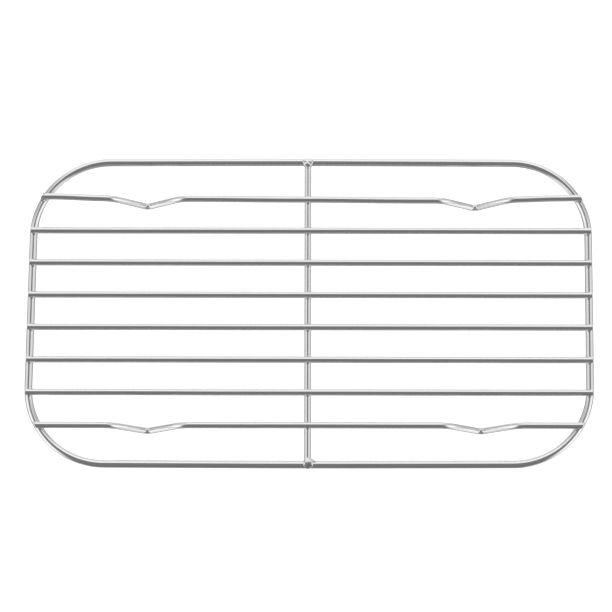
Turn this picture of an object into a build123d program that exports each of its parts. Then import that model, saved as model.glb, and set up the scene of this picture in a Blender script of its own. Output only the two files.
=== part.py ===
from build123d import *
import math
import os

# A footed cooling rack in round stainless wire, standing on its four feet.
# +X runs along its length, +Y towards its back and +Z up. The origin is under the middle of the frame,
# on the surface that the feet stand on.

# ---- Driving dimensions, in millimetres ----

rack_length = 457.0  # over the frame wire, along X
rack_depth = 257.0  # over the frame wire, along Y
rack_height = 29.1  # from the bottom of the feet to the top of the grid
corner_radius = 65.2  # outside of the frame wire

frame_wire_diameter = 6.35
crossbar_diameter = 5.5
grid_wire_diameter = 5.3

grid_wire_count = 8  # the first and the last are the leg wires
leg_wire_inset = 34.9  # from the frame's outer edge to the middle of a leg wire, without grid_offset
wire_end_inset = 0.8  # from the frame's outer edge to the cut end of a grid wire
weld_set_down = 0.4  # how far a grid wire is pressed into the wire under it
crossbar_offset = -1.9  # the crossbar stands a little left of the middle
grid_offset = -0.8  # the grid wires are welded on a little towards the front

foot_inset = 94.3  # from the frame's outer end to the bottom of a foot
foot_reach = 28.5  # along X, from the bottom of a foot to the shoulder where it leaves the grid
shoulder_bend_radius = 18.0  # middle of the wire
foot_bend_radius = 5.4  # middle of the wire
front_feet_offset = 3.4  # each leg wire is welded on a little to the right
back_feet_offset = 0.9

grid_weld_radius = 2.45  # the bead squeezed out round a crossing
tee_weld_spread = 5.3  # each way along the frame wire, from the crossbar's middle
tee_weld_reach = 4.3  # along the crossbar, from the frame wire's side
tee_weld_rise = 0.45  # over the top of the frame wire
butt_gap = 1.0  # weld metal between the two ends of the frame wire
butt_bead_length = 7.0
butt_bead_rise = 0.35
butt_bead_slope = 1.5  # length of each sloping end of the bead
seam_turn = 45.0  # degrees; turns a ball's seam away from the seams of the wires cut out of it

# ---- Levels and stations worked out from them ----

frame_radius = frame_wire_diameter / 2
crossbar_radius = crossbar_diameter / 2
grid_radius = grid_wire_diameter / 2

grid_level = rack_height - grid_radius
frame_level = grid_level - grid_radius + weld_set_down - frame_radius
crossbar_level = frame_level + frame_radius - crossbar_radius
crossing_level = frame_level + frame_radius - weld_set_down / 2
foot_level = grid_radius

frame_half_length = rack_length / 2 - frame_radius
frame_half_depth = rack_depth / 2 - frame_radius
frame_bend_radius = corner_radius - frame_radius

grid_half_depth = rack_depth / 2 - leg_wire_inset
grid_pitch = 2 * grid_half_depth / (grid_wire_count - 1)
grid_stations = [grid_offset - grid_half_depth + grid_pitch * i for i in range(grid_wire_count)]
foot_station = rack_length / 2 - foot_inset

leg_wires = {
    0: ("front_leg_wire", front_feet_offset),
    grid_wire_count - 1: ("back_leg_wire", back_feet_offset),
}


def frame_middle_x(y):
    """Distance from the YZ plane to the frame wire's middle line at the end sides, at depth y."""
    into_corner = abs(y) - (frame_half_depth - frame_bend_radius)
    if into_corner <= 0:
        return frame_half_length
    return frame_half_length - frame_bend_radius + math.sqrt(frame_bend_radius**2 - into_corner**2)


def rod(start, end, radius):
    """A plain round bar between two points."""
    path = Line(start, end)
    return Solid.make_cylinder(radius, path.length, Plane(origin=start, z_dir=path % 0))


def bent_wire(path, radius):
    """A round wire bent along a path."""
    section = Plane(origin=path @ 0, z_dir=path % 0) * Circle(radius)
    return sweep(section, path=path)


# ---- Wires before they are welded ----


def frame_ring():
    """The frame wire, bent round four corners until its ends almost meet at the middle of the front."""
    left, right = -frame_half_length, frame_half_length
    front, back = -frame_half_depth, frame_half_depth
    path = FilletPolyline(
        (crossbar_offset + butt_gap / 2, front, frame_level),
        (right, front, frame_level),
        (right, back, frame_level),
        (left, back, frame_level),
        (left, front, frame_level),
        (crossbar_offset - butt_gap / 2, front, frame_level),
        radius=frame_bend_radius,
    )
    return bent_wire(path, frame_radius)


def crossbar_rod():
    """The crossbar, running into the middle of the frame wire at both ends."""
    return rod(
        (crossbar_offset, -frame_half_depth, crossbar_level),
        (crossbar_offset, frame_half_depth, crossbar_level),
        crossbar_radius,
    )


def trim_block():
    """The frame's outline drawn in by the end inset: grid wires are cut off at its sides."""
    outline = RectangleRounded(
        rack_length - 2 * wire_end_inset, rack_depth - 2 * wire_end_inset, corner_radius - wire_end_inset
    )
    return extrude(outline, rack_height)


def straight_rod(y):
    """A straight grid wire, too long until it is trimmed."""
    return rod((-rack_length / 2, y, grid_level), (rack_length / 2, y, grid_level), grid_radius)


def foot_corner_level():
    """Height of the corner that a foot's bend rounds off, with the bend's lowest point at foot level."""
    # Each side of a foot runs through the shoulder's corner and touches the bend's circle from below.
    over_bend = grid_level - foot_level - foot_bend_radius
    to_middle = math.hypot(foot_reach, over_bend)
    slope = math.atan2(over_bend, foot_reach) + math.asin(foot_bend_radius / to_middle)
    return grid_level - foot_reach * math.tan(slope)


def leg_rod(y, offset):
    """A grid wire bent down into two V-shaped feet, too long until it is trimmed."""
    points = [(-rack_length / 2, y, grid_level)]
    radii = []
    for middle in (offset - foot_station, offset + foot_station):
        points += [
            (middle - foot_reach, y, grid_level),
            (middle, y, foot_corner_level()),
            (middle + foot_reach, y, grid_level),
        ]
        radii += [shoulder_bend_radius, foot_bend_radius, shoulder_bend_radius]
    points.append((rack_length / 2, y, grid_level))
    return bent_wire(FilletPolyline(*points, radius=radii), grid_radius)


# ---- Weld metal before the wires are cut out of it ----


def butt_weld_bead():
    """The joint between the frame wire's ends: a low band round the wire, dressed down to two slopes."""
    half = butt_bead_length / 2
    flat = half - butt_bead_slope
    crown = frame_radius + butt_bead_rise
    slopes = Polyline((-half, frame_radius), (-flat, crown), (flat, crown), (half, frame_radius))
    face = make_face(slopes + Polyline((half, frame_radius), (half, 0), (-half, 0), (-half, frame_radius)))
    return Pos(crossbar_offset, -frame_half_depth, frame_level) * revolve(face, Axis.X)


def tee_weld_bead(side):
    """The puddle of weld metal round one end of the crossbar. side is -1 at the front and 1 at the back."""
    # It is a lens, round in plan, whose lower and upper faces are parts of two balls. Its upper face stands
    # tee_weld_rise over the frame wire's middle line, which is inwards from the lens's own middle.
    inwards = frame_radius + tee_weld_reach - tee_weld_spread
    crown = crossbar_radius + tee_weld_rise
    ball_offset = (tee_weld_spread**2 - inwards**2 - crown**2) / (2 * crown)
    ball = Sphere(math.hypot(tee_weld_spread, ball_offset))
    lens = Pos(0, 0, ball_offset) * ball & Pos(0, 0, -ball_offset) * ball
    return Pos(crossbar_offset, side * (frame_half_depth - inwards), crossbar_level) * lens


def crossing_bead(x, y):
    """The ball of weld metal at a crossing, which the two wires leave only a ring of."""
    return Pos(x, y, crossing_level) * Rot(0, 0, seam_turn) * Sphere(grid_weld_radius)


# ---- Pieces as welded ----


def solids_of(*shapes):
    """The shapes' solids as one compound."""
    return Compound(children=[solid for shape in shapes for solid in shape.solids()])


def build_rack():
    """All pieces by node name."""
    trim = trim_block()
    ring = frame_ring()
    crossbar = crossbar_rod()
    butt_bead = butt_weld_bead()
    frame_joined = [ring, butt_bead]
    pressed_in = [straight_rod(y) for y in grid_stations]

    parts = {}
    parts["frame_wire"] = ring - pressed_in
    parts["frame_butt_weld"] = butt_bead - ring
    parts["centre_crossbar"] = crossbar - frame_joined - pressed_in
    for side, node in ((-1, "front_tee_weld"), (1, "back_tee_weld")):
        parts[node] = tee_weld_bead(side) - frame_joined - crossbar

    for i, y in enumerate(grid_stations):
        if i in leg_wires:
            node, offset = leg_wires[i]
            parts[node] = leg_rod(y, offset) & trim
        else:
            parts[f"grid_wire_{i}"] = straight_rod(y) & trim

    crossings = {
        "left_grid_welds": (ring, lambda y: -frame_middle_x(y)),
        "centre_grid_welds": (crossbar, lambda y: crossbar_offset),
        "right_grid_welds": (ring, frame_middle_x),
    }
    for node, (under, x_at) in crossings.items():
        beads = [crossing_bead(x_at(y), y) - under - over for y, over in zip(grid_stations, pressed_in)]
        parts[node] = solids_of(*beads)
    return parts


os.makedirs("parts", exist_ok=True)
for node, shape in build_rack().items():
    export_step(solids_of(shape), f"parts/{node}.step")
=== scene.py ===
import math

import bmesh
import bpy
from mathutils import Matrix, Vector, noise


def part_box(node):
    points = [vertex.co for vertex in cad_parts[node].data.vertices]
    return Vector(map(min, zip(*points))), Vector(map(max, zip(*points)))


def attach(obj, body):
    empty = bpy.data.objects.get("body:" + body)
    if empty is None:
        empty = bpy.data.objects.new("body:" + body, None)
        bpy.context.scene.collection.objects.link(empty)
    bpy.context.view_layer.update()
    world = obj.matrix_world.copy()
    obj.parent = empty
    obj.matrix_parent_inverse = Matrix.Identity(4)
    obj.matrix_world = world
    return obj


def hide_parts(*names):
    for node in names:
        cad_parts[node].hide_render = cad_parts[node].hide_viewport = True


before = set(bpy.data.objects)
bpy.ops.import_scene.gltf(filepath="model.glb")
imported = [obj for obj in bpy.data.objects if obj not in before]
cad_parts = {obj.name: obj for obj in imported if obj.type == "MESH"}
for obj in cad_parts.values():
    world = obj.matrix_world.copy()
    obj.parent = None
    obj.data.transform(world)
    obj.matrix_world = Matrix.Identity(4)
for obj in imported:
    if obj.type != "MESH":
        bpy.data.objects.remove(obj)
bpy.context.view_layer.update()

MM = 0.001

# ---- Sizes read from the frame ----

LEG_NODES = ("front_leg_wire", "back_leg_wire")
GRID_NODES = sorted(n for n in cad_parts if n.startswith("grid_wire_"))

frame_lo, frame_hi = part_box("frame_wire")
FRAME_RADIUS = (frame_hi.z - frame_lo.z) / 2
FRAME_LEVEL = (frame_hi.z + frame_lo.z) / 2
RING_X = frame_hi.x - FRAME_RADIUS
RING_Y = frame_hi.y - FRAME_RADIUS

bar_lo, bar_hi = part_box("centre_crossbar")
BAR_RADIUS = (bar_hi.x - bar_lo.x) / 2
BAR_X = (bar_hi.x + bar_lo.x) / 2
BAR_LEVEL = (bar_hi.z + bar_lo.z) / 2

leg_lo, leg_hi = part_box(LEG_NODES[0])
GRID_RADIUS = (leg_hi.y - leg_lo.y) / 2
GRID_LEVEL = leg_hi.z - GRID_RADIUS
FOOT_LEVEL = leg_lo.z + GRID_RADIUS

# ---- Sizes that the frame's boxes don't give, as in the part ----

CORNER_RADIUS = 65.2 * MM  # outside of the frame wire
WIRE_END_INSET = 0.8 * MM
FOOT_REACH = 28.5 * MM
SHOULDER_BEND = 18.0 * MM
FOOT_BEND = 5.4 * MM

# ---- How far a hand-welded rack is from true ----

FRAME_LEAN = 0.0095  # sideways, for each metre of depth: the frame isn't quite square
LONG_SIDE_BOW = 0.7 * MM  # the long sides stand out this much at the crossbar's ends
BOW_POWER = 1.5  # how the bow grows along the side
WANDER = 0.07 * MM  # of a wire from its straight line
WANDER_LENGTH = 80 * MM
WANDER_SEED_STEP = 7.3  # between the wires' places in the noise
NOISE_SEED = 1  # without one, noise_vector differs from run to run
TRUE_END = 8 * MM  # at each end, from the frame wire's middle line: a wire doesn't wander there
# How far back of its straight line the back leg wire lies, in millimetres: (x, how far), smooth in between.
BACK_LEG_BENDS = [
    (-212, 1.8),
    (-163, 0.35),
    (-97, 0.0),
    (-9, -0.5),
    (93, -1.15),
    (164, -0.2),
    (202, 0.8),
    (220, 1.1),
]

noise.seed_set(NOISE_SEED)

# ---- How finely things are meshed ----

AROUND = 48
STEP = 2.5 * MM  # along straight stretches
BEND_STEP = math.radians(3)
LEAST_BEND_STEPS = 4


# ---- Paths ----


def path_with_bends(corners, radii):
    """Points along straight runs joined by tangent arcs, one arc at each inner corner."""
    points = [corners[0]]
    for before, corner, after, radius in zip(corners, corners[1:], corners[2:], radii):
        a = (before - corner).normalized()
        b = (after - corner).normalized()
        half = a.angle(b) / 2
        run = radius / math.tan(half)
        middle = corner + (a + b).normalized() * (radius / math.sin(half))
        start, end = corner + a * run, corner + b * run
        turn = math.pi - 2 * half
        steps = max(LEAST_BEND_STEPS, math.ceil(turn / BEND_STEP))
        u = (start - middle).normalized()
        w = (end - middle - u * (end - middle).dot(u)).normalized()
        for i in range(steps + 1):
            t = turn * i / steps
            points.append(middle + (u * math.cos(t) + w * math.sin(t)) * radius)
    points.append(corners[-1])
    return points


def divide(points, step):
    """The same line with extra points along its long runs."""
    out = [points[0]]
    for a, b in zip(points, points[1:]):
        n = max(1, math.ceil((b - a).length / step))
        out += [a.lerp(b, i / n) for i in range(1, n + 1)]
    return out


def wandering(points, seed):
    """The line with the slight unevenness of drawn wire."""
    out = []
    for p in points:
        if abs(p.x) < RING_X - TRUE_END:
            place = Vector((p.x / WANDER_LENGTH, p.y / WANDER_LENGTH, seed * WANDER_SEED_STEP))
            shift = noise.noise_vector(place) * WANDER
            out.append(p + Vector((0, shift.y, shift.z)))
        else:
            out.append(p.copy())
    return out


# ---- The frame's outline ----


def as_welded(p):
    """Where a point of the true frame ring lies on this rack's frame."""
    along = min(1.0, abs(p.x) / RING_X)
    bow = LONG_SIDE_BOW * along**BOW_POWER * p.y / RING_Y
    return Vector((p.x + FRAME_LEAN * p.y, p.y - bow, p.z))


def ring_x(side, y, inset):
    """The left (side -1) or right (1) outer edge of the frame at depth y, drawn in by inset."""
    half_length, half_depth = frame_hi.x - inset, frame_hi.y - inset - LONG_SIDE_BOW
    radius = CORNER_RADIUS - inset
    into_corner = max(0.0, abs(y) - (half_depth - radius))
    return side * (half_length - radius + math.sqrt(radius**2 - into_corner**2)) + FRAME_LEAN * y


# ---- Meshes ----


def new_object(name, bm):
    """The object of a finished bmesh, smooth all over."""
    bmesh.ops.recalc_face_normals(bm, faces=bm.faces)
    for face in bm.faces:
        face.smooth = True
    mesh = bpy.data.meshes.new(name)
    bm.to_mesh(mesh)
    bm.free()
    obj = bpy.data.objects.new(name, mesh)
    bpy.context.scene.collection.objects.link(obj)
    return obj


def rings_along(points, radius, closed=False):
    """Circles of points across a line. radius is a number, or a function of the point."""
    n = len(points)
    rings = []
    side = None
    for i, p in enumerate(points):
        before = points[i - 1] if i or closed else p
        after = points[(i + 1) % n] if i < n - 1 or closed else p
        along = (after - before).normalized()
        if side is None:
            side = Vector((0, 0, 1)).cross(along).normalized()
        side = (side - along * side.dot(along)).normalized()
        up = along.cross(side)
        r = radius(p) if callable(radius) else radius
        angles = [2 * math.pi * k / AROUND for k in range(AROUND)]
        rings.append([p + (side * math.cos(a) + up * math.sin(a)) * r for a in angles])
    return rings


def centre_of(ring):
    return sum(ring, Vector()) / len(ring)


def skin(bm, rings, closed=False):
    """Faces over rings of points: a closed loop of rings, or a row of them with a fan over each end.

    The UVs are the distance along the line and the share of the way round it.
    """
    uv = bm.loops.layers.uv.verify()
    verts = [[bm.verts.new(p) for p in ring] for ring in rings]
    centres = [centre_of(ring) for ring in rings]
    distance = [0.0]
    for a, b in zip(centres, centres[1:] + centres[:1]):
        distance.append(distance[-1] + (b - a).length)
    count = len(rings[0])
    spans = len(rings) if closed else len(rings) - 1
    for i in range(spans):
        here, there = verts[i], verts[(i + 1) % len(verts)]
        for k in range(count):
            m = (k + 1) % count
            face = bm.faces.new((here[k], there[k], there[m], here[m]))
            corners = ((i, k), (i + 1, k), (i + 1, k + 1), (i, k + 1))
            for loop, (j, around) in zip(face.loops, corners):
                loop[uv].uv = (distance[j], around / count)
    if not closed:
        for i in (0, len(verts) - 1):
            middle = bm.verts.new(centres[i])
            for k in range(count):
                face = bm.faces.new((verts[i][k], verts[i][(k + 1) % count], middle))
                for loop in face.loops:
                    loop[uv].uv = (distance[i], k / count)


def tube(name, rings, closed=False):
    bm = bmesh.new()
    skin(bm, rings, closed)
    return new_object(name, bm)


# The rings at a grid wire's cut end: (how far back from the cut, how much smaller than the wire)
CUT_END = [(0.45 * MM, 0.0), (0.22 * MM, 0.04), (0.06 * MM, 0.13), (0.0, 0.27), (-0.02 * MM, 0.6)]
CUT_FACE_FROM = 0.2  # rings smaller by more than this are on the cut's rough face
CUT_ROUGHNESS = 0.06 * MM
CUT_NOISE_SCALE = 900  # for each metre


def cut_ends(rings, seed):
    """The rings with both ends sheared off along the frame's outline, with slightly broken edges."""
    ends = []
    for side, ring in ((-1, rings[0]), (1, rings[-1])):
        middle = centre_of(ring)
        end_rings = []
        for back, smaller in CUT_END:
            row = []
            for p in ring:
                y = middle.y + (p.y - middle.y) * (1 - smaller)
                z = middle.z + (p.z - middle.z) * (1 - smaller)
                rough = 0
                if smaller > CUT_FACE_FROM:
                    rough = CUT_ROUGHNESS * noise.noise(Vector((y, z, seed * MM)) * CUT_NOISE_SCALE)
                row.append(Vector((ring_x(side, y, WIRE_END_INSET) - side * (back + rough), y, z)))
            end_rings.append(row)
        ends.append(end_rings)
    return list(reversed(ends[0])) + rings + ends[1]


def finished(obj, node):
    """obj stands for a CAD node and is seen in its place."""
    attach(obj, "root")
    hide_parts(node)
    return obj


# ---- Materials ----


class Graph:
    """Short ways to add nodes to a material or world."""

    def __init__(self, tree):
        self.nodes, self.links = tree.nodes, tree.links

    def add(self, kind, inputs=None, **settings):
        node = self.nodes.new(kind)
        for key, value in settings.items():
            setattr(node, key, value)
        for socket, value in (inputs or {}).items():
            self.put(value, node.inputs[socket])
        return node

    def put(self, value, socket):
        if isinstance(value, bpy.types.NodeSocket):
            self.links.new(value, socket)
        else:
            socket.default_value = value

    def maths(self, operation, *values):
        node = self.add("ShaderNodeMath", operation=operation)
        for value, socket in zip(values, node.inputs):
            self.put(value, socket)
        return node.outputs[0]

    def spread(self, value, low, high, from_low=0.0, from_high=1.0):
        """value from one range to another."""
        settings = {1: from_low, 2: from_high, 3: low, 4: high}
        return self.add("ShaderNodeMapRange", {0: value, **settings}).outputs[0]

    def noise(self, vector, scale, detail=2.0, roughness=0.5):
        inputs = {"Vector": vector, "Scale": scale, "Detail": detail, "Roughness": roughness}
        return self.add("ShaderNodeTexNoise", inputs).outputs["Fac"]

    def mix(self, share, low, high):
        """A number between two by share."""
        return self.add("ShaderNodeMix", {0: share, 2: low, 3: high}).outputs[0]

    def grey(self, share, dark, light):
        """A grey between two by share. Of the mix node's sockets, these are the colours'."""
        inputs = {0: share, 6: (dark, dark, dark, 1), 7: (light, light, light, 1)}
        return self.add("ShaderNodeMix", inputs, data_type="RGBA").outputs[2]

    def scaled(self, colour, share):
        """colour times share."""
        return self.add("ShaderNodeVectorMath", {0: colour, "Scale": share}, operation="SCALE").outputs[0]

    def blend(self, *weighted):
        """The sum of values, each given with its weight."""
        first, *others = [self.maths("MULTIPLY", value, weight) for value, weight in weighted]
        for other in others:
            first = self.maths("ADD", first, other)
        return first


def new_material(name):
    """A material, its graph and its shader."""
    material = bpy.data.materials.new(name)
    material.use_nodes = True
    return material, Graph(material.node_tree), material.node_tree.nodes["Principled BSDF"]


# Patterns on the wire: (scale along it, scale round it, detail, roughness)
DRAWN_LINES = (45, 14, 4, 0.65)
BLOTCHES = (60, 0.9, 3, 0.5)
GRAIN = (1800, 5, 3, 0.7)
MARKS = (140, 1.7, 1, 0.3)
MARKS_RANGE = (0.68, 0.75)  # of their noise, from no mark to a full one
WIRE_GREYS = (0.845, 0.925)
WIRE_ROUGHNESS = (0.07, 0.17)
MARK_ROUGHNESS = 0.12  # more, in a mark
WIRE_BUMP = 0.02 * MM


def bright_wire():
    """Drawn and electropolished wire: fine lines along it, faint blotches and a few handling marks."""
    material, graph, shader = new_material("bright_wire")
    shader.inputs["Metallic"].default_value = 1.0
    split = graph.add("ShaderNodeSeparateXYZ", {0: graph.add("ShaderNodeUVMap", uv_map="UVMap").outputs[0]})
    along, turn = split.outputs[0], graph.maths("MULTIPLY", split.outputs[1], 2 * math.pi)
    across = (graph.maths("COSINE", turn), graph.maths("SINE", turn))

    def pattern(along_scale, around_scale, detail, roughness):
        """Noise that is stretched along the wire and has no seam round it."""
        parts = [graph.maths("MULTIPLY", along, along_scale)]
        parts += [graph.maths("MULTIPLY", c, around_scale) for c in across]
        place = graph.add("ShaderNodeCombineXYZ", dict(enumerate(parts))).outputs[0]
        return graph.noise(place, 1.0, detail, roughness)

    lines, blotches, grain = pattern(*DRAWN_LINES), pattern(*BLOTCHES), pattern(*GRAIN)
    marks = graph.spread(pattern(*MARKS), 0.0, 1.0, *MARKS_RANGE)

    tone = graph.spread(graph.blend((lines, 0.5), (blotches, 0.5)), 0, 1, 0.32, 0.68)
    graph.put(graph.grey(tone, *WIRE_GREYS), shader.inputs["Base Color"])
    rough = graph.spread(lines, *WIRE_ROUGHNESS, 0.3, 0.7)
    rough = graph.maths("ADD", rough, graph.maths("MULTIPLY", marks, MARK_ROUGHNESS))
    graph.put(rough, shader.inputs["Roughness"])
    height = graph.blend((lines, 0.6), (grain, 0.4), (marks, -0.5))
    bump = graph.add("ShaderNodeBump", {"Height": height, "Strength": 0.25, "Distance": WIRE_BUMP})
    graph.put(bump.outputs[0], shader.inputs["Normal"])
    return material


WELD_CELLS = 1400  # for each metre, as the two below
WELD_RIPPLES = 320
WELD_PITS = 2600.0
PIT_SIZE = 0.16  # as a share of their spacing
WELD_GREYS = (0.77, 0.91)
WELD_ROUGHNESS = (0.10, 0.22)
WELD_BUMP = 0.06 * MM
# Painted shade in the weld's crevices: how far the ambient occlusion looks for closing walls, and how dark it
# gets
PAINTED_SHADE_REACH = 1.5 * MM
PAINTED_CREVICE_SHADE = 0.6  # of the painted shade: how much of the metal's colour is left where the crevices are deepest


def weld_metal():
    """Electropolished weld metal: rippled, duller than the wire, with fine pits, and shade painted darker
    into its crevices.
    """
    material, graph, shader = new_material("weld_metal")
    shader.inputs["Metallic"].default_value = 1.0
    place = graph.add("ShaderNodeTexCoord").outputs["Object"]
    cells = graph.noise(place, WELD_CELLS, detail=4, roughness=0.6)
    ripples = graph.noise(place, WELD_RIPPLES, detail=2)
    pits = graph.add("ShaderNodeTexVoronoi", {"Vector": place, "Scale": WELD_PITS}).outputs["Distance"]
    pits = graph.spread(pits, 1.0, 0.0, 0.0, PIT_SIZE)
    tone = graph.spread(graph.blend((cells, 0.5), (ripples, 0.5)), 0, 1, 0.35, 0.65)
    # Painted shade: the metal's colour is darkened where ambient occlusion finds the surface closed in,
    # between the weld and the wires
    open_share = graph.add("ShaderNodeAmbientOcclusion", {"Distance": PAINTED_SHADE_REACH}, samples=6).outputs["AO"]
    painted_crevice_shade = graph.spread(open_share, PAINTED_CREVICE_SHADE, 1.0, 0.35, 0.85)
    graph.put(graph.scaled(graph.grey(tone, *WELD_GREYS), painted_crevice_shade), shader.inputs["Base Color"])
    graph.put(graph.spread(cells, *WELD_ROUGHNESS, 0.3, 0.7), shader.inputs["Roughness"])
    height = graph.blend((cells, 1.0), (ripples, 1.5), (pits, -0.35))
    bump = graph.add("ShaderNodeBump", {"Height": height, "Strength": 0.5, "Distance": WELD_BUMP})
    graph.put(bump.outputs[0], shader.inputs["Normal"])
    return material


WIRE = bright_wire()
WELD = weld_metal()

# ---- The wires ----


def make_frame_wire():
    """The frame wire as one closed loop: its own joint is under the butt weld."""
    start = Vector((BAR_X, -RING_Y, FRAME_LEVEL))
    turns = ((1, -1), (1, 1), (-1, 1), (-1, -1))
    corners = [start] + [Vector((sx * RING_X, sy * RING_Y, FRAME_LEVEL)) for sx, sy in turns] + [start]
    points = divide(path_with_bends(corners, [CORNER_RADIUS - FRAME_RADIUS] * 4), STEP)[:-1]
    points = [as_welded(p) for p in points]
    obj = tube("frame_wire_finished", rings_along(points, FRAME_RADIUS, closed=True), closed=True)
    return finished(obj, "frame_wire")


def make_crossbar():
    """The crossbar, between the middles of the frame wire's long sides."""
    points = divide([Vector((BAR_X, -RING_Y, BAR_LEVEL)), Vector((BAR_X, RING_Y, BAR_LEVEL))], STEP)
    obj = tube("centre_crossbar_finished", rings_along(points, BAR_RADIUS))
    return finished(obj, "centre_crossbar")


def middle_y(node):
    """The depth that a grid wire lies at."""
    lo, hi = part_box(node)
    return (lo.y + hi.y) / 2


END_STRAIGHT = 2 * MM  # between a wire's last whole ring and its cut


def bent_back(x):
    """How far back the back leg wire lies from its straight line at x."""
    for (x0, a), (x1, b) in zip(BACK_LEG_BENDS, BACK_LEG_BENDS[1:]):
        if x / MM <= x1:
            t = max(0.0, (x / MM - x0) / (x1 - x0))
            return (a + (b - a) * (0.5 - 0.5 * math.cos(math.pi * t))) * MM
    return BACK_LEG_BENDS[-1][1] * MM


def make_grid_wire(node, corners, radii, seed):
    """A grid wire along corners, the first and last of which are worked out here, at its cut ends."""
    y = middle_y(node)
    for i, side in ((0, -1), (-1, 1)):
        corners[i] = Vector((ring_x(side, y, WIRE_END_INSET) - side * END_STRAIGHT, y, GRID_LEVEL))
    points = wandering(divide(path_with_bends(corners, radii), STEP), seed)
    if node == "back_leg_wire":
        points = [p + Vector((0, bent_back(p.x), 0)) for p in points]
    rings = rings_along(points, GRID_RADIUS)
    obj = tube(node + "_finished", cut_ends(rings, seed))
    return finished(obj, node)


FOOT_SOLE = 0.3 * MM  # the height that counts as the bottom of a foot


def foot_xs(node):
    """The middles of the two feet of a leg wire, from the lowest points of its CAD mesh."""
    low = [v.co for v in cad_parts[node].data.vertices if v.co.z < leg_lo.z + FOOT_SOLE]
    sides = [[c.x for c in low if c.x * s > 0] for s in (-1, 1)]
    return [(min(xs) + max(xs)) / 2 for xs in sides]


def leg_corners(node):
    """The corners of a leg wire and the radii of its bends, without the ends.

    Each side of a foot runs through the shoulder's corner and touches the foot bend's circle from below.
    """
    over_bend = GRID_LEVEL - FOOT_LEVEL - FOOT_BEND
    slope = math.atan2(over_bend, FOOT_REACH) + math.asin(FOOT_BEND / math.hypot(FOOT_REACH, over_bend))
    y = middle_y(node)
    corners, radii = [None], []
    for middle in foot_xs(node):
        corners += [
            Vector((middle - FOOT_REACH, y, GRID_LEVEL)),
            Vector((middle, y, GRID_LEVEL - FOOT_REACH * math.tan(slope))),
            Vector((middle + FOOT_REACH, y, GRID_LEVEL)),
        ]
        radii += [SHOULDER_BEND, FOOT_BEND, SHOULDER_BEND]
    return corners + [None], radii


wires = [make_frame_wire(), make_crossbar()]
for seed, node in enumerate(GRID_NODES):
    wires.append(make_grid_wire(node, [None, None], [], seed))
for seed, node in enumerate(LEG_NODES, start=len(GRID_NODES)):
    wires.append(make_grid_wire(node, *leg_corners(node), seed))
for wire in wires:
    wire.data.materials.append(WIRE)

# ---- Weld beads where the grid wires cross the wires under them ----

BEAD_GAP = 0.95 * MM  # how wide the gap between two wires is where the bead's face spans it
BEAD_HOLLOW = 0.3  # of that gap, how far the face is drawn in
BEAD_UNEVEN = 0.22
BEAD_NOISE = 1.3  # how far apart in the noise a bead's opposite sides are, halved
BEAD_SEED_STEP = 3.1
BEAD_STEP = 0.04 * MM
BEAD_SINK = 0.06 * MM  # into the wires, at the bead's edges
BEAD_END_DEPTH = 0.2 * MM  # of a bead's closed ends, beyond that
BEAD_END_SHARE = 0.4  # their size, as a share of the edge's
BEAD_AROUND = 44
BEAD_FACE = 6  # steps across the face
END_SEEDS, CROSSBAR_SEEDS = 10, 30  # apart, so that no two beads are alike


def crossing_bead(bm, x, y, under_along, under_radius, under_level, seed):
    """The metal squeezed out of a crossing: a ring with a hollow face between the two wires."""

    def surfaces(px, py):
        """The levels of the lower wire's top and the upper wire's bottom, px and py from the crossing."""
        off = min(abs(under_along.x * py - under_along.y * px), under_radius)
        off_over = min(abs(py), GRID_RADIUS)
        under = under_level + math.sqrt(under_radius**2 - off**2)
        return under, GRID_LEVEL - math.sqrt(GRID_RADIUS**2 - off_over**2)

    rings = [[] for _ in range(BEAD_FACE + 1)]
    for k in range(BEAD_AROUND):
        angle = 2 * math.pi * k / BEAD_AROUND
        c, s = math.cos(angle), math.sin(angle)
        place = Vector((BEAD_NOISE * c, BEAD_NOISE * s, BEAD_SEED_STEP * seed))
        uneven = 1 + BEAD_UNEVEN * noise.noise(place)
        reach = 0.0
        while reach < GRID_RADIUS:
            under, over = surfaces(reach * c, reach * s)
            if over - under > BEAD_GAP * uneven:
                break
            reach += BEAD_STEP
        low, high = under - BEAD_SINK, over + BEAD_SINK
        for i, ring in enumerate(rings):
            t = i / BEAD_FACE
            drawn_in = BEAD_HOLLOW * (high - low) * math.sin(math.pi * t)
            out = reach - drawn_in
            ring.append(Vector((x + out * c, y + out * s, low + (high - low) * t)))

    def closed_end(ring, up):
        """A smaller ring inside the wire."""
        return [Vector((x, y, p.z)).lerp(p, BEAD_END_SHARE) + Vector((0, 0, up)) for p in ring]

    skin(bm, [closed_end(rings[0], -BEAD_END_DEPTH), *rings, closed_end(rings[-1], BEAD_END_DEPTH)])


def ring_middle(side, y):
    """The frame wire's middle at depth y, and its direction there."""
    half_step = 0.5 * MM
    a, b = (Vector((ring_x(side, y + s * half_step, FRAME_RADIUS), y + s * half_step)) for s in (-1, 1))
    return (a.x + b.x) / 2, (b - a).normalized()


def make_crossing_welds():
    """The beads on the left end, the crossbar and the right end, as one object each."""
    for node, side in (("left_grid_welds", -1), ("centre_grid_welds", 0), ("right_grid_welds", 1)):
        bm = bmesh.new()
        for i, wire in enumerate((*GRID_NODES, *LEG_NODES)):
            y = middle_y(wire)
            if side:
                x, along = ring_middle(side, y)
                crossing_bead(bm, x, y, along, FRAME_RADIUS, FRAME_LEVEL, END_SEEDS * side + i)
            else:
                crossing_bead(bm, BAR_X, y, Vector((0, 1)), BAR_RADIUS, BAR_LEVEL, CROSSBAR_SEEDS + i)
        obj = new_object(node + "_finished", bm)
        obj.data.materials.append(WELD)
        finished(obj, node)


make_crossing_welds()

# ---- Weld metal where the crossbar meets the frame, and where the frame wire's own ends meet ----

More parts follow.
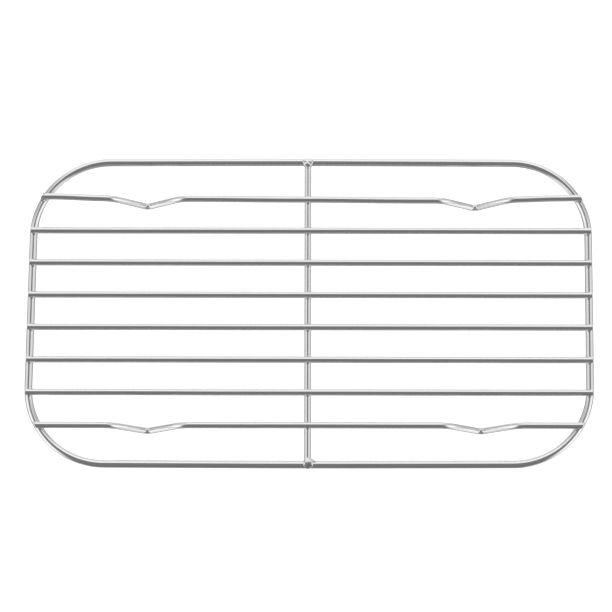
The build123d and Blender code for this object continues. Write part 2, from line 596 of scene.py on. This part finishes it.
PUDDLE_VOXEL = 0.2 * MM
PUDDLE_RIPPLE = 0.12 * MM
PUDDLE_RIPPLE_LENGTH = 1.7 * MM
PUDDLE_STEP = 0.5 * MM
BLOB_STEPS = 16
FRAME_COAT = 0.1 * MM  # the thickest metal round the frame wire beside a tee weld
BAR_COAT = 0.2 * MM  # and round the crossbar
BAR_COAT_START = 1.0 * MM  # beyond the frame wire's middle line
BAR_COAT_SINK = 0.8 * MM  # under the crossbar's surface, at the coat's ends
BUTT_COAT_SINK = 0.5 * MM  # under the frame wire's surface, at the butt weld's ends

# Of a mound, in millimetres
SHOULDER = 1.3  # how far out its gently sloping shoulders run
SHOULDER_DROP = 0.4  # for each millimetre of them
MOUND_CROWN = 0.08  # in the middle, over the flat top's edges
MOUND_DEPTH = 3.4  # under the top of the wires
MOUND_FOOT = 0.5  # how far out from the shoulders its foot is


def tapered(bm, start, end, radius_middle, radius_ends, skew=0.5):
    """A round piece of metal that is thickest at skew of its length and sinks into the wire at its ends."""

    def radius(p):
        t = (p - start).length / (end - start).length
        s = t / skew if t < skew else (1 - t) / (1 - skew)
        return radius_ends + (radius_middle - radius_ends) * (0.5 - 0.5 * math.cos(math.pi * s))

    skin(bm, rings_along(divide([start, end], PUDDLE_STEP), radius))


def blob(bm, middle, radii):
    """A lump of weld metal, to be melted into what is round it."""
    rings = []
    for i in range(1, BLOB_STEPS):
        a = math.pi * i / BLOB_STEPS
        row = []
        for k in range(AROUND):
            b = 2 * math.pi * k / AROUND
            unit = Vector((math.sin(a) * math.cos(b), math.sin(a) * math.sin(b), math.cos(a)))
            row.append(middle + unit * Vector(radii))
        rings.append(row)
    skin(bm, rings)


def melt(name, bm, softening, seed):
    """One skin round everything in bm, smoothed softening times, with a slight ripple."""
    rough = new_object(name + "_rough", bm)
    remesh = rough.modifiers.new("remesh", "REMESH")
    remesh.mode = "VOXEL"
    remesh.voxel_size = PUDDLE_VOXEL
    smooth = rough.modifiers.new("smooth", "SMOOTH")
    smooth.factor = 0.5
    smooth.iterations = softening
    depsgraph = bpy.context.evaluated_depsgraph_get()
    mesh = bpy.data.meshes.new_from_object(rough.evaluated_get(depsgraph))
    bpy.data.objects.remove(rough)
    mesh.name = name
    normals = [v.normal.copy() for v in mesh.vertices]
    for vertex, normal in zip(mesh.vertices, normals):
        place = vertex.co / PUDDLE_RIPPLE_LENGTH + Vector((0, 0, seed))
        vertex.co += normal * (PUDDLE_RIPPLE * noise.noise(place))
    for polygon in mesh.polygons:
        polygon.use_smooth = True
    obj = bpy.data.objects.new(name, mesh)
    bpy.context.scene.collection.objects.link(obj)
    obj.data.materials.append(WELD)
    return obj


def at_joint(side, x, inwards, up):
    """A place by the joint at the front (side -1) or back (1).

    x is counted from the crossbar's middle line, inwards from the frame wire's, and up from the crossbar's.
    """
    return Vector((BAR_X + x, side * (RING_Y - inwards), BAR_LEVEL + up))


def mound(bm, side, sections):
    """Weld metal over a joint, from sections across it: (inwards, left, right, rise), in millimetres.

    left and right are the flat top's edges, and rise is its height over the top of the wires.
    """
    top = BAR_RADIUS / MM
    rings = []
    for inwards, left, right, rise in sections:
        outline = [
            (left - SHOULDER - MOUND_FOOT, top - MOUND_DEPTH),
            (left - SHOULDER, top + rise - SHOULDER_DROP * SHOULDER),
            (left, top + rise),
            ((left + right) / 2, top + rise + MOUND_CROWN),
            (right, top + rise),
            (right + SHOULDER, top + rise - SHOULDER_DROP * SHOULDER),
            (right + SHOULDER + MOUND_FOOT, top - MOUND_DEPTH),
        ]
        rings.append([at_joint(side, x * MM, inwards * MM, up * MM) for x, up in outline])
    skin(bm, rings)


def coat_both_wires(bm, side, left, right, sink, skew, inwards):
    """Metal round the frame wire, from left to right of the joint, and round the crossbar, inwards from it.

    Round the frame wire, it is thickest at skew of its length, and sinks in by sink at its ends.
    """
    frame_sag = FRAME_LEVEL - BAR_LEVEL
    start, end = at_joint(side, left, 0, frame_sag), at_joint(side, right, 0, frame_sag)
    tapered(bm, start, end, FRAME_RADIUS + FRAME_COAT, FRAME_RADIUS - sink, skew)
    start, end = at_joint(side, 0, -BAR_COAT_START, 0), at_joint(side, 0, inwards, 0)
    tapered(bm, start, end, BAR_RADIUS + BAR_COAT, BAR_RADIUS - BAR_COAT_SINK)


def make_back_tee_weld():
    """A flat-topped puddle, wide on the frame and narrowing along the crossbar."""
    bm = bmesh.new()
    coat_both_wires(bm, 1, -5.5 * MM, 5.2 * MM, sink=0.7 * MM, skew=0.5, inwards=8.0 * MM)
    sections = [
        (-1.7, -1.6, 1.8, -0.4),
        (-0.9, -3.0, 3.0, 0.45),
        (0.4, -3.1, 3.1, 0.55),
        (1.8, -2.4, 2.4, 0.6),
        (3.2, -1.5, 1.6, 0.6),
        (4.4, -0.8, 0.9, 0.5),
        (5.6, -0.3, 0.4, 0.3),
        (6.6, -0.1, 0.1, -0.3),
    ]
    mound(bm, 1, sections)
    melted = melt("back_tee_weld_finished", bm, softening=4, seed=1.7)
    return finished(melted, "back_tee_weld")


# The front tee weld's lumps to the right, in millimetres: (x, inwards, radius)
FLARE = [(2.6, 2.9, 2.2), (3.8, 2.3, 2.1), (5.0, 1.8, 2.0), (6.3, 1.5, 1.8), (7.6, 1.3, 1.5)]


def make_front_tee_weld():
    """A mound over the frame's own joint, with a flare of smaller and smaller lumps to the right."""
    bm = bmesh.new()
    coat_both_wires(bm, -1, -4.8 * MM, 8.0 * MM, sink=0.6 * MM, skew=0.4, inwards=8.5 * MM)
    sections = [
        (5.8, -0.4, 0.4, -0.3),
        (4.6, -1.0, 1.0, 0.3),
        (3.2, -1.6, 1.8, 0.8),
        (1.8, -1.8, 2.4, 1.15),
        (0.4, -1.9, 2.8, 1.25),
        (-0.7, -2.1, 3.0, 0.9),
        (-1.7, -2.0, 2.8, 0.15),
        (-2.6, -1.5, 2.2, -1.2),
    ]
    mound(bm, -1, sections)
    flare_level = 0.7 * MM
    for x, inwards, radius in FLARE:
        blob(bm, at_joint(-1, x * MM, inwards * MM, flare_level), (radius * MM, radius * MM, radius * MM))
    melted = melt("front_tee_weld_finished", bm, softening=5, seed=5.2)
    return finished(melted, "front_tee_weld")


def make_butt_weld():
    """The dressed lump over the joint between the frame wire's ends."""
    bm = bmesh.new()
    lo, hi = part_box("frame_butt_weld")
    middle = Vector((BAR_X, -RING_Y, FRAME_LEVEL))
    half = Vector(((hi.x - lo.x) / 2, 0, 0))
    crown = (hi.z - lo.z) / 2
    tapered(bm, middle - half, middle + half, crown, FRAME_RADIUS - BUTT_COAT_SINK)
    cap_middle = middle + Vector((0.2 * MM, 0.2 * MM, 1.0 * MM))
    blob(bm, cap_middle, (3.1 * MM, 2.3 * MM, crown - 0.75 * MM))
    melted = melt("frame_butt_weld_finished", bm, softening=5, seed=9.4)
    return finished(melted, "frame_butt_weld")


make_back_tee_weld()
make_front_tee_weld()
make_butt_weld()

# ---- Stage ----

FLOOR_SIZE = 12.0
FLOOR_GREY = 0.95
FLOOR_GLOW = 0.7


def make_floor():
    """A white floor, lit from itself as well as by the room so that no shadow shows, open from below."""
    bpy.ops.mesh.primitive_plane_add(size=FLOOR_SIZE)
    floor = bpy.context.object
    floor.name = "floor"
    material, graph, shader = new_material("pale_floor")
    shader.inputs["Base Color"].default_value = (FLOOR_GREY, FLOOR_GREY, FLOOR_GREY, 1)
    shader.inputs["Roughness"].default_value = 1.0
    shader.inputs["Specular IOR Level"].default_value = 0.0
    shader.inputs["Emission Color"].default_value = (1, 1, 1, 1)
    shader.inputs["Emission Strength"].default_value = FLOOR_GLOW
    mix = graph.add("ShaderNodeMixShader")
    graph.put(graph.add("ShaderNodeNewGeometry").outputs["Backfacing"], mix.inputs[0])
    graph.put(shader.outputs[0], mix.inputs[1])
    graph.put(graph.add("ShaderNodeBsdfTransparent").outputs[0], mix.inputs[2])
    graph.put(mix.outputs[0], graph.nodes["Material Output"].inputs["Surface"])
    floor.data.materials.append(material)
    floor.visible_glossy = False


# What the polished wire reflects, by direction: (name, radiance, bands). A band is (quantity, low, high,
# softness). The quantities of a direction are across = |x|, back = y, up = z and turn, which is its angle in
# the YZ plane from straight up, in degrees, positive towards the back. None is no limit. Later regions cover
# earlier ones.
ROOM = 0.90
REGIONS = [
    (
        "window_edge",
        1.02,
        [("across", None, 0.40, 0.3), ("turn", 0, 52, 16)],
    ),
    (
        "side_walls",
        0.76,
        [("across", 0.66, None, 0.24)],
    ),
    (
        "side_walls_behind",
        0.52,
        [("across", 0.56, None, 0.2), ("back", 0.42, None, 0.2), ("up", -0.5, None, 0.2)],
    ),
    (
        "side_gaps",
        0.46,
        [("across", 0.34, 0.72, 0.2), ("turn", 25, 54, 14)],
    ),
    (
        "side_softboxes",
        1.1,
        [("across", 0.66, None, 0.34), ("up", -0.25, None, 0.10), ("back", None, 0.12, 0.2)],
    ),
    (
        "side_skirting",
        0.25,
        [("across", 0.88, None, 0.08), ("back", -0.14, 0.14, 0.08), ("up", -0.24, -0.04, 0.08)],
    ),
    (
        "table_in_front",
        0.42,
        [("up", None, -0.26, 0.3), ("back", None, 0.30, 0.3)],
    ),
    (
        "table_beside",
        0.36,
        [("up", None, -0.15, 0.2), ("across", 0.5, None, 0.3), ("back", 0.1, None, 0.2)],
    ),
    (
        "front_softboxes",
        0.98,
        [("across", 0.24, None, 0.2), ("back", None, -0.3, 0.3), ("up", -0.66, -0.1, 0.2)],
    ),
    (
        "table_behind",
        0.60,
        [("up", None, -0.72, 0.2), ("back", 0.25, None, 0.2)],
    ),
    (
        "open_front",
        0.175,
        [("across", None, 0.60, 0.26), ("turn", -116, 4, 10)],
    ),
    (
        "ceiling",
        0.20,
        [("across", None, 0.40, 0.16), ("turn", -45, 18, 4)],
    ),
]
BACKDROP = 1.0  # what the camera itself sees of the room


def make_world():
    """The room that the wires reflect, and the plain white that the camera sees."""
    world = bpy.data.worlds.new("studio")
    bpy.context.scene.world = world
    world.use_nodes = True
    graph = Graph(world.node_tree)
    graph.nodes.clear()
    split = graph.add("ShaderNodeSeparateXYZ", {0: graph.add("ShaderNodeTexCoord").outputs["Generated"]})
    x, y, z = split.outputs
    quantities = {
        "across": graph.maths("ABSOLUTE", x),
        "back": y,
        "up": z,
        "turn": graph.maths("MULTIPLY", graph.maths("ARCTAN2", y, z), 180 / math.pi),
    }

    def over(quantity, edge, softness):
        """1 where the quantity is past the edge, and 0 where it is short of it."""
        limits = {0: quantities[quantity], 1: edge - softness / 2, 2: edge + softness / 2}
        return graph.add("ShaderNodeMapRange", limits, interpolation_type="SMOOTHSTEP").outputs[0]

    radiance = ROOM
    for _, value, bands in REGIONS:
        share = 1.0
        for quantity, low, high, softness in bands:
            if low is not None:
                share = graph.maths("MULTIPLY", share, over(quantity, low, softness))
            if high is not None:
                below = graph.maths("SUBTRACT", 1.0, over(quantity, high, softness))
                share = graph.maths("MULTIPLY", share, below)
        radiance = graph.mix(share, radiance, value)
    from_camera = graph.add("ShaderNodeLightPath").outputs["Is Camera Ray"]
    background = graph.add("ShaderNodeBackground", {0: graph.mix(from_camera, radiance, BACKDROP)})
    graph.add("ShaderNodeOutputWorld", {0: background.outputs[0]})


make_floor()
make_world()

# ---- Camera ----

CAMERA_ELEVATION = math.radians(76.7)
CAMERA_DISTANCE = 2.218
CAMERA_ROLL = math.radians(0.09)
LENS = 161.5
AIM = Vector((-0.00332, 0.0046, FRAME_LEVEL))


def make_camera():
    """A camera at the front, looking down steeply at AIM."""
    data = bpy.data.cameras.new("camera")
    data.lens = LENS
    camera = bpy.data.objects.new("camera", data)
    bpy.context.scene.collection.objects.link(camera)
    back = Vector((0, -math.cos(CAMERA_ELEVATION), math.sin(CAMERA_ELEVATION)))
    camera.location = AIM + back * CAMERA_DISTANCE
    camera.rotation_euler = (-back).to_track_quat("-Z", "Y").to_euler()
    camera.rotation_euler.rotate_axis("Z", CAMERA_ROLL)
    bpy.context.scene.camera = camera


make_camera()
bpy.context.scene.view_settings.view_transform = "Standard"
